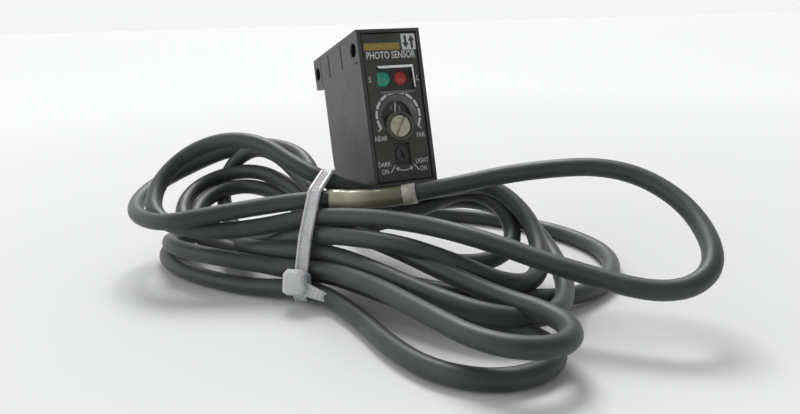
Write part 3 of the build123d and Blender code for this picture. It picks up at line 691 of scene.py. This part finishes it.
def strap_path():
    """Evenly spaced (across, up, outward angle) stations round the tied strands."""
    radius = CABLE_R + STRAP_CLEAR
    stations = []
    count = len(BUNDLE_CORNERS)
    for index, (x, y) in enumerate(BUNDLE_CORNERS):
        before, after = BUNDLE_CORNERS[index - 1], BUNDLE_CORNERS[(index + 1) % count]
        arriving = math.atan2(y - before[1], x - before[0]) - math.pi / 2
        leaving = math.atan2(after[1] - y, after[0] - x) - math.pi / 2
        sweep = (leaving - arriving) % (2 * math.pi)
        arc_steps = max(1, round(radius * sweep / STRAP_STEP))
        for arc_step in range(arc_steps):
            angle = arriving + sweep * arc_step / arc_steps
            stations.append((x + radius * math.cos(angle), y + radius * math.sin(angle), angle))
        run = math.hypot(after[0] - x, after[1] - y)
        run_steps = max(1, round(run / STRAP_STEP))
        for run_step in range(run_steps):
            share = run_step / run_steps
            foot_x = x + (after[0] - x) * share + radius * math.cos(leaving)
            foot_y = y + (after[1] - y) * share + radius * math.sin(leaving)
            stations.append((foot_x, foot_y, leaving))
    return stations


def add_strap(mesh, stations):
    """A closed ribbon with raised rims and a ladder of teeth sunk between them."""
    half = STRAP_WIDTH / 2
    rings = []
    travelled = 0.0
    last_x, last_y, _ = stations[0]
    for x, y, angle in stations:
        travelled += math.hypot(x - last_x, y - last_y)
        last_x, last_y = x, y
        tooth = (travelled / TOOTH_PITCH) % 1.0
        ladder = STRAP_THICK - LADDER_DEPTH + TOOTH_HEIGHT * (1.0 - tooth)
        rim = [
            (half, 0.0), (half, STRAP_THICK - RIM_BEVEL), (half - RIM_BEVEL, STRAP_THICK),
            (half - RIM_WIDTH, STRAP_THICK), (half - RIM_WIDTH - RIM_FOOT, ladder),
        ]
        section = [(-along, out) for along, out in rim] + rim[::-1]
        ring = []
        for along, out in section:
            at = tie_point(x + out * math.cos(angle), y + out * math.sin(angle), along)
            ring.append(mesh.verts.new(at))
        rings.append(ring)
    join_rings(mesh, rings, closed=True)


HEAD_SIZE = (7.0, 5.4, 7.4)           # along the strap, out of it, across it
HEAD_PLACE = 1.2                      # from the lowest strand's middle, up the strap
HEAD_CLEAR = 0.3                      # between the strands and the head
TIE_BEVEL = 0.18


def head_point(up, out, across):
    """A point of the tie's head, whose axes run up the strap, out of it and across it."""
    lowest, bow = Vector(BUNDLE_CORNERS[0]), Vector(BUNDLE_CORNERS[-1])
    strap = (bow - lowest).normalized()
    outward = Vector((-strap.y, strap.x))
    at = lowest + strap * (HEAD_PLACE + up) + outward * (CABLE_R + HEAD_CLEAR + HEAD_SIZE[1] / 2 + out)
    return tie_point(at.x, at.y, across)


# The head's uneven outline, as shares of its half length and half width.
HEAD_CORNERS = [
    (-1.0, -0.55), (-0.8, -0.9), (0.6, -1.0), (1.0, -0.7), (1.0, 0.4), (0.7, 0.8), (-0.5, 1.0), (-0.9, 0.7),
]


def add_head(mesh):
    """The head: a block with uneven facets, tapered outwards."""
    long, deep, wide = (size / 2 for size in HEAD_SIZE)
    # how far out each level is, and its scale
    levels = [(-deep, 0.90), (-deep + 0.6, 1.0), (deep - 1.5, 1.0), (deep - 0.5, 0.88), (deep, 0.66)]
    rings = []
    for out, scale in levels:
        places = [(up * long * scale, out, across * wide * scale) for up, across in HEAD_CORNERS]
        rings.append([mesh.verts.new(head_point(*place)) for place in places])
    join_rings(mesh, rings)


# The tail's start in the head and how far it goes: up the strap, out of it and across it.
TAIL_START, TAIL_TRAVEL = (-1.4, 0.6, 2.0), (-2.6, -1.4, 8.6)
TAIL_STEPS = 14
TAIL_TAPER = 0.45                     # how much narrower it ends, as a share of its width
TAIL_EDGE, TAIL_RIM = 0.5, 0.6        # half its edge's thickness, and its rim's width
TAIL_NOTCH = 0.18
TAIL_LIE = (0.95, 0.30)               # how its width lies: up the strap and across it


def add_tail(mesh):
    """The cut end of the strap, which leaves the head and is bent sideways along the strands."""
    rings = []
    for step in range(TAIL_STEPS + 1):
        share = step / TAIL_STEPS
        up, out, across = (start + travel * share for start, travel in zip(TAIL_START, TAIL_TRAVEL))
        half = STRAP_WIDTH / 2 * (1.0 - TAIL_TAPER * share)
        lift = STRAP_THICK / 2 - (0.0 if step % 2 else TAIL_NOTCH)
        section = [
            (-half, -TAIL_EDGE), (-half, TAIL_EDGE), (-half + TAIL_RIM, lift),
            (half - TAIL_RIM, lift), (half, TAIL_EDGE), (half, -TAIL_EDGE),
        ]
        ring = []
        for side, rise in section:
            at = head_point(up + TAIL_LIE[0] * side, out + rise, across + TAIL_LIE[1] * side)
            ring.append(mesh.verts.new(at))
        rings.append(ring)
    join_rings(mesh, rings)


def make_tie(material):
    """Nylon tie round the hank's middle."""
    mesh = bmesh.new()
    add_strap(mesh, strap_path())
    add_head(mesh)
    add_tail(mesh)
    tie = mesh_object("nylon_tie", mesh, bevel=TIE_BEVEL)
    settle(tie, material)
    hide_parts("cable_tie")
    return tie


SLEEVE_GAP, SLEEVE_LENGTH = 2.2, 26.5         # from the tie's plane, and along the cable
SLEEVE_WALL, SLEEVE_END_WALL = 0.28, 0.46
SLEEVE_SIDES, SLEEVE_END_RINGS = 28, 3
# Waves in the sleeve's radius: height, radians over its length, and start.
SLEEVE_WAVES = [(0.07, 21.0, 0.0), (0.05, 47.0, 1.0)]


def sleeve_section(index, count):
    """The loose sleeve's ring, with its radius a little wavy."""
    share = index / (count - 1)
    wave = sum(height * math.sin(share * angle + start) for height, angle, start in SLEEVE_WAVES)
    return ring_of((CABLE_R + SLEEVE_WALL + wave) * MM, SLEEVE_SIDES)


def sleeve_end_section(index, count):
    """The ring of the sleeve's stiff end."""
    return ring_of((CABLE_R + SLEEVE_END_WALL) * MM, SLEEVE_SIDES)


def make_sleeve(line, film, edge):
    """Clear wiring sleeve that has slipped along the cable, with its stiff end ring, whose pale colour is a
    painted highlight.
    """
    stretch = stretch_before(line, on_surface(front_slot(0)), SLEEVE_GAP * MM, SLEEVE_LENGTH * MM)
    mesh = bmesh.new()
    add_sweep(mesh, stretch, sleeve_section)
    sleeve = mesh_object("wiring_sleeve", mesh, smooth=True)
    settle(sleeve, film)
    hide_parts("wiring_label")
    mesh = bmesh.new()
    add_sweep(mesh, stretch[-SLEEVE_END_RINGS:], sleeve_end_section)
    end = mesh_object("wiring_sleeve_end_painted_highlight", mesh, smooth=True)
    # the end ring's pale material is a painted highlight
    settle(end, edge)
    return [sleeve, end]


# ---------------------------------------------------------------- bare end of the cable
# Each core's corner in the jacket (side, up), and how far it spreads sideways.
CORE_ENDS = {"brown": (-1, 1, -7.0), "black": (-1, -1, -2.5), "blue": (1, -1, 2.5), "pink": (1, 1, 7.0)}
CORE_OFFSET = 0.62                    # sideways, from the jacket's middle to a core's
CORE_GAP = 0.02                       # between the jacket's end and a core
CORE_RUNS = (9.0, 15.0)
CORE_HEIGHTS = (2.1, 0.7)             # above the surface, where the runs meet and at the end
FIRST_SPREAD, FIRST_RISE = 0.3, 0.8
TIP_STEP, TIP_STEPS = 0.5, 8
TIP_R, TIP_GROOVE = 0.33, 0.05
TIP_STRANDS, TIP_SIDES, TIP_TWIST = 7, 24, 0.9


def tip_section(index, count):
    """A ring of twisted strands; each ring along the tip is turned a little further."""
    section = []
    for side in range(TIP_SIDES):
        turn = 2 * math.pi * side / TIP_SIDES
        radius = TIP_R + TIP_GROOVE * math.cos(TIP_STRANDS * turn + index * TIP_TWIST)
        section.append((radius * MM * math.cos(turn), radius * MM * math.sin(turn)))
    return section


def tip_line(side_way, up_way, spread):
    """The line of one core's tip, from just inside the core's end."""
    last, before = Vector(CORD_ROUTE[-1]), Vector(CORD_ROUTE[-2])
    along = (last - before).normalized()
    side = Vector((-along.y, along.x, 0.0))
    start = last + along * CORE_GAP + side * (CORE_OFFSET * side_way)
    middle = start + along * CORE_RUNS[0] + side * (FIRST_SPREAD * spread)
    middle.z = CORE_HEIGHTS[0] + FIRST_RISE * up_way
    end = middle + along * CORE_RUNS[1] + side * spread
    end.z = CORE_HEIGHTS[1]
    onward = (end - middle).normalized()
    return [on_surface(end + onward * TIP_STEP * (step - 1)) for step in range(TIP_STEPS + 1)]


def make_core_tips(material):
    """Twisted tinned strands that show at the four stripped core ends."""
    mesh = bmesh.new()
    for core_end in CORE_ENDS.values():
        add_sweep(mesh, tip_line(*core_end), tip_section)
    tips = mesh_object("core_tips", mesh, smooth=True)
    return settle(tips, material)


# ---------------------------------------------------------------- panel print
PANEL_FACE_Y = 0.3
DIAL_X, DIAL_Z = 0.1, 20.65
SELECTOR_X, SELECTOR_Z = 0.1, 9.3
ARROWHEAD_SPREAD = 0.62               # an arrowhead's half width as a share of its length


def add_print(mesh, outline, layers=1):
    """A printed shape on the panel; a second layer lies over the first."""
    add_prism(mesh, outline, PANEL_FACE_Y - layers * INK, PANEL_FACE_Y)


def box(left, low, right, high):
    """Outline of an upright rectangle."""
    return [(left, low), (right, low), (right, high), (left, high)]


def round_point(x, z, radius, degrees):
    """A point at an angle clockwise from straight up."""
    angle = math.radians(degrees)
    return (x + radius * math.sin(angle), z + radius * math.cos(angle))


def arc_band(x, z, inner, outer, start, end, steps=8):
    """Outline of a ring's stretch, clockwise from straight up, in degrees."""
    angles = [start + (end - start) * step / steps for step in range(steps + 1)]
    outside = [round_point(x, z, outer, angle) for angle in angles]
    inside = [round_point(x, z, inner, angle) for angle in reversed(angles)]
    return outside + inside


def bar(start, end, width):
    """Outline of a straight line of a given width."""
    (x0, z0), (x1, z1) = start, end
    length = math.hypot(x1 - x0, z1 - z0)
    side_x, side_z = -(z1 - z0) / length * width / 2, (x1 - x0) / length * width / 2
    return [
        (x0 + side_x, z0 + side_z), (x1 + side_x, z1 + side_z), (x1 - side_x, z1 - side_z),
        (x0 - side_x, z0 - side_z),
    ]


def arrow(x, tail_z, tip_z, shaft, head):
    """Outline of an upright arrow from its tail to its tip."""
    way = 1.0 if tip_z > tail_z else -1.0
    neck = tip_z - way * head
    barb = head * ARROWHEAD_SPREAD
    return [
        (x - shaft, tail_z), (x - shaft, neck), (x - barb, neck), (x, tip_z), (x + barb, neck),
        (x + shaft, neck), (x + shaft, tail_z),
    ]


SCALE_SEGMENTS = 10
SCALE_INNER_R, SCALE_OUTER_R = 6.48, 7.22
SCALE_START, SCALE_PITCH = -119.0, 24.3       # degrees
SEGMENT_ANGLE = 20.2
LEADER_R, LEADER_ANGLE, LEADER_WIDTH = 6.6, 120.0, 0.35
LEADER_RUN = (1.25, -0.95)


def add_distance_scale(mesh):
    """Ten thick segments round the indicator, with a leader to each word."""
    for index in range(SCALE_SEGMENTS):
        start = SCALE_START + index * SCALE_PITCH
        end = start + SEGMENT_ANGLE
        add_print(mesh, arc_band(DIAL_X, DIAL_Z, SCALE_INNER_R, SCALE_OUTER_R, start, end))
    for way in (-1, 1):
        foot = round_point(DIAL_X, DIAL_Z, LEADER_R, way * LEADER_ANGLE)
        far = (foot[0] + way * LEADER_RUN[0], foot[1] + LEADER_RUN[1])
        add_print(mesh, bar(foot, far, LEADER_WIDTH))


MODE_INNER_R, MODE_OUTER_R = 4.75, 5.0
MODE_START, MODE_END = 150.0, 212.0           # degrees
ARROW_ANGLES, ARROW_SWEEP = (145.0, 217.0), 13.0
ARROW_TIP_R, ARROW_INNER_R, ARROW_OUTER_R = 4.9, 4.25, 5.5
WORD_LINE = ((3.0, -3.2), (4.5, -5.2))        # from the selector's middle, on either side
WORD_LINE_WIDTH = 0.26


def add_mode_marks(mesh):
    """The arc under the selector, its two arrowheads and the lines to both words."""
    add_print(mesh, arc_band(
        SELECTOR_X, SELECTOR_Z, MODE_INNER_R, MODE_OUTER_R, MODE_START, MODE_END, steps=14,
    ))
    for degrees in ARROW_ANGLES:
        way = 1.0 if degrees < 180.0 else -1.0
        base = degrees + way * ARROW_SWEEP
        add_print(mesh, [
            round_point(SELECTOR_X, SELECTOR_Z, ARROW_TIP_R, degrees),
            round_point(SELECTOR_X, SELECTOR_Z, ARROW_INNER_R, base),
            round_point(SELECTOR_X, SELECTOR_Z, ARROW_OUTER_R, base),
        ])
        top, foot = ((SELECTOR_X + way * x, SELECTOR_Z + z) for x, z in WORD_LINE)
        add_print(mesh, bar(top, foot, WORD_LINE_WIDTH))


# Each word with its middle (x, z) and the height of its capitals.
WORDS = [
    ("NEAR", -6.3, 14.2, 1.5), ("FAR", 6.5, 14.35, 1.5),
    ("DARK", -6.25, 6.6, 1.45), ("ON", -6.2, 4.4, 1.45),
    ("LIGHT", 5.9, 6.7, 1.45), ("ON", 6.1, 4.4, 1.45),
    ("S", -7.5, 31.6, 1.7), ("L", 7.75, 31.4, 1.7),
]
TITLE = ("PHOTO SENSOR", 0.1, 38.5, 2.15)
SIGN = box(3.95, 39.95, 8.5, 44.7)
SIGN_ARROWS = [(5.25, 44.2, 40.4), (7.2, 40.4, 44.2)]       # middle, tail and tip
SIGN_SHAFT, SIGN_HEAD = 0.36, 1.65
BAND = box(-8.17, 40.15, 3.2, 42.2)


def make_legends(ink):
    """The scale, the mode marks, the words and the plate of the sign."""
    mesh = bmesh.new()
    add_distance_scale(mesh)
    add_mode_marks(mesh)
    for word in WORDS:
        add_lettering(mesh, *word, PANEL_FACE_Y, narrow=0.74, weight=0.01)
    add_lettering(mesh, *TITLE, PANEL_FACE_Y, narrow=0.71, weight=0.04)
    add_print(mesh, SIGN)
    settle(mesh_object("panel_legends", mesh), ink)


def make_sign_arrows(dark):
    """The two arrows on the sign, one up and one down."""
    mesh = bmesh.new()
    for x, tail_z, tip_z in SIGN_ARROWS:
        add_print(mesh, arrow(x, tail_z, tip_z, SIGN_SHAFT, SIGN_HEAD), layers=2)
    settle(mesh_object("panel_arrows", mesh), dark)


def make_band(ochre):
    """The plain coloured band beside the sign."""
    mesh = bmesh.new()
    add_print(mesh, BAND)
    settle(mesh_object("panel_band", mesh), ochre)


DIAL_FACE_Y = 2.9                     # the floor of the indicator's cup
POINTER_REST = 7.0                    # degrees clockwise from straight up
POINTER_FROM, POINTER_TO, POINTER_WIDTH = 1.35, 4.45, 0.5
NUMERALS = [("1", -20.0), ("2", 36.0)]        # each with its angle
NUMERAL_R, NUMERAL_HEIGHT = 2.85, 1.5


def make_pointer(ink):
    """Pointer line on the indicator, which turns with it."""
    ends = [round_point(DIAL_X, DIAL_Z, radius, POINTER_REST) for radius in (POINTER_FROM, POINTER_TO)]
    mesh = bmesh.new()
    add_prism(mesh, bar(*ends, POINTER_WIDTH), DIAL_FACE_Y - INK, DIAL_FACE_Y)
    settle(mesh_object("dial_pointer", mesh), ink, "dial")


def make_numerals(faint):
    """Numerals on the indicator, which turn with it."""
    mesh = bmesh.new()
    for numeral, degrees in NUMERALS:
        x, z = round_point(DIAL_X, DIAL_Z, NUMERAL_R, degrees)
        add_lettering(mesh, numeral, x, z, NUMERAL_HEIGHT, DIAL_FACE_Y, narrow=0.82, weight=0.02)
    settle(mesh_object("dial_numerals", mesh), faint, "dial")


SLOT_FLOOR_Y, SLOT_FLOOR_THICK = 1.7, 0.3
SELECTOR_REST = math.radians(15.0)
SLOT_HALF, SLOT_TOP, SLOT_NECK, SLOT_BARB, SLOT_TIP = 0.3, 1.5, -0.3, 0.95, -1.7


def make_selector_arrow(dark):
    """Dark floor of the selector's arrow-shaped slot, which turns with it."""
    right_side = [(SLOT_HALF, SLOT_TOP), (SLOT_HALF, SLOT_NECK), (SLOT_BARB, SLOT_NECK)]
    left_side = [(-x, z) for x, z in reversed(right_side)]
    outline = []
    for x, z in [*right_side, (0.0, SLOT_TIP), *left_side]:
        turned_x = x * math.cos(SELECTOR_REST) - z * math.sin(SELECTOR_REST)
        turned_z = x * math.sin(SELECTOR_REST) + z * math.cos(SELECTOR_REST)
        outline.append((SELECTOR_X + turned_x, SELECTOR_Z + turned_z))
    mesh = bmesh.new()
    add_prism(mesh, outline, SLOT_FLOOR_Y - SLOT_FLOOR_THICK, SLOT_FLOOR_Y)
    settle(mesh_object("selector_arrow", mesh), dark, "selector")


WINDOW_LEFT, WINDOW_RIGHT, WINDOW_LOW, WINDOW_HIGH = -5.1, 6.5, 27.9, 35.1
LIP_FRONT_Y, LOW_LIP_FRONT_Y = -0.45, -0.1
LIP_BEVEL = 0.15


def make_painted_highlight_lip(highlight_white):
    """Painted highlight: milky-white lip along the top and the right of the indicator window, for its lit
    chamfer.
    """
    # each point is set off a little from an edge of the window
    left, right, low, high = WINDOW_LEFT, WINDOW_RIGHT, WINDOW_LOW, WINDOW_HIGH
    inner_high = high - 0.45
    along_top = [
        (left + 0.7, inner_high), (right, inner_high), (right, high + 0.3), (left + 0.3, high + 0.3),
    ]
    down_right = [
        (right - 0.2, low + 1.0), (right + 0.15, low + 0.7), (right, inner_high), (right - 0.5, inner_high),
    ]
    mesh = bmesh.new()
    for outline in (along_top, down_right):
        add_prism(mesh, outline, LIP_FRONT_Y, PANEL_FACE_Y)
    settle(mesh_object("window_lip_painted_highlight", mesh, bevel=LIP_BEVEL), highlight_white)


LOW_LIP_DROP, LOW_LIP_RISE = 0.75, 0.1


def make_low_lip_painted_reflection(reflection_grey):
    """Painted reflection: grey lip below the indicator window, for light reflected off its lower part."""
    foot, top = WINDOW_LOW - LOW_LIP_DROP, WINDOW_LOW + LOW_LIP_RISE
    below = [
        (WINDOW_LEFT + 0.6, foot), (WINDOW_RIGHT - 0.6, foot), (WINDOW_RIGHT - 0.3, top),
        (WINDOW_LEFT + 0.3, top),
    ]
    mesh = bmesh.new()
    add_prism(mesh, below, LOW_LIP_FRONT_Y, PANEL_FACE_Y)
    settle(mesh_object("window_lip_low_painted_reflection", mesh, bevel=LIP_BEVEL), reflection_grey)


# ---------------------------------------------------------------- build
# Nodes that look a little different from the rest of their slot.
OWN_MATERIALS = {
    "mounting_bush_front": "bush_steel",
    "mounting_bush_rear": "bush_steel",
    "indicator_dial": "dial_plastic",
    "selector_bezel": "panel_plastic",
    "mode_selector": "panel_plastic",
}


def dress_nodes(materials):
    """Every carried-over CAD node gets the material of its slot, or its own variant of it."""
    for part in frame["record"]["subparts"]:
        name = part["node"]
        for holder in frame["nodes"][name].material_slots:
            holder.material = materials[OWN_MATERIALS.get(name, part["material_slot"])]


add_camera()
add_studio()
add_floor()
materials = make_materials()
dress_nodes(materials)
cable = make_cord(materials["cable_pvc"])
tie_piece = make_tie(materials["nylon_white"])
sleeve_pieces = make_sleeve(centreline(cable), materials["label_film"], materials["label_edge"])
tip_piece = make_core_tips(materials["tinned_copper"])
make_legends(materials["legend_ink"])
make_sign_arrows(materials["panel_plastic"])
make_band(materials["ochre_ink"])
make_pointer(materials["legend_ink"])
make_numerals(materials["faint_ink"])
make_selector_arrow(materials["slot_black"])
make_painted_highlight_lip(materials["milky_plastic"])
make_low_lip_painted_reflection(materials["grey_plastic"])
bpy.context.scene.view_settings.view_transform = "Standard"
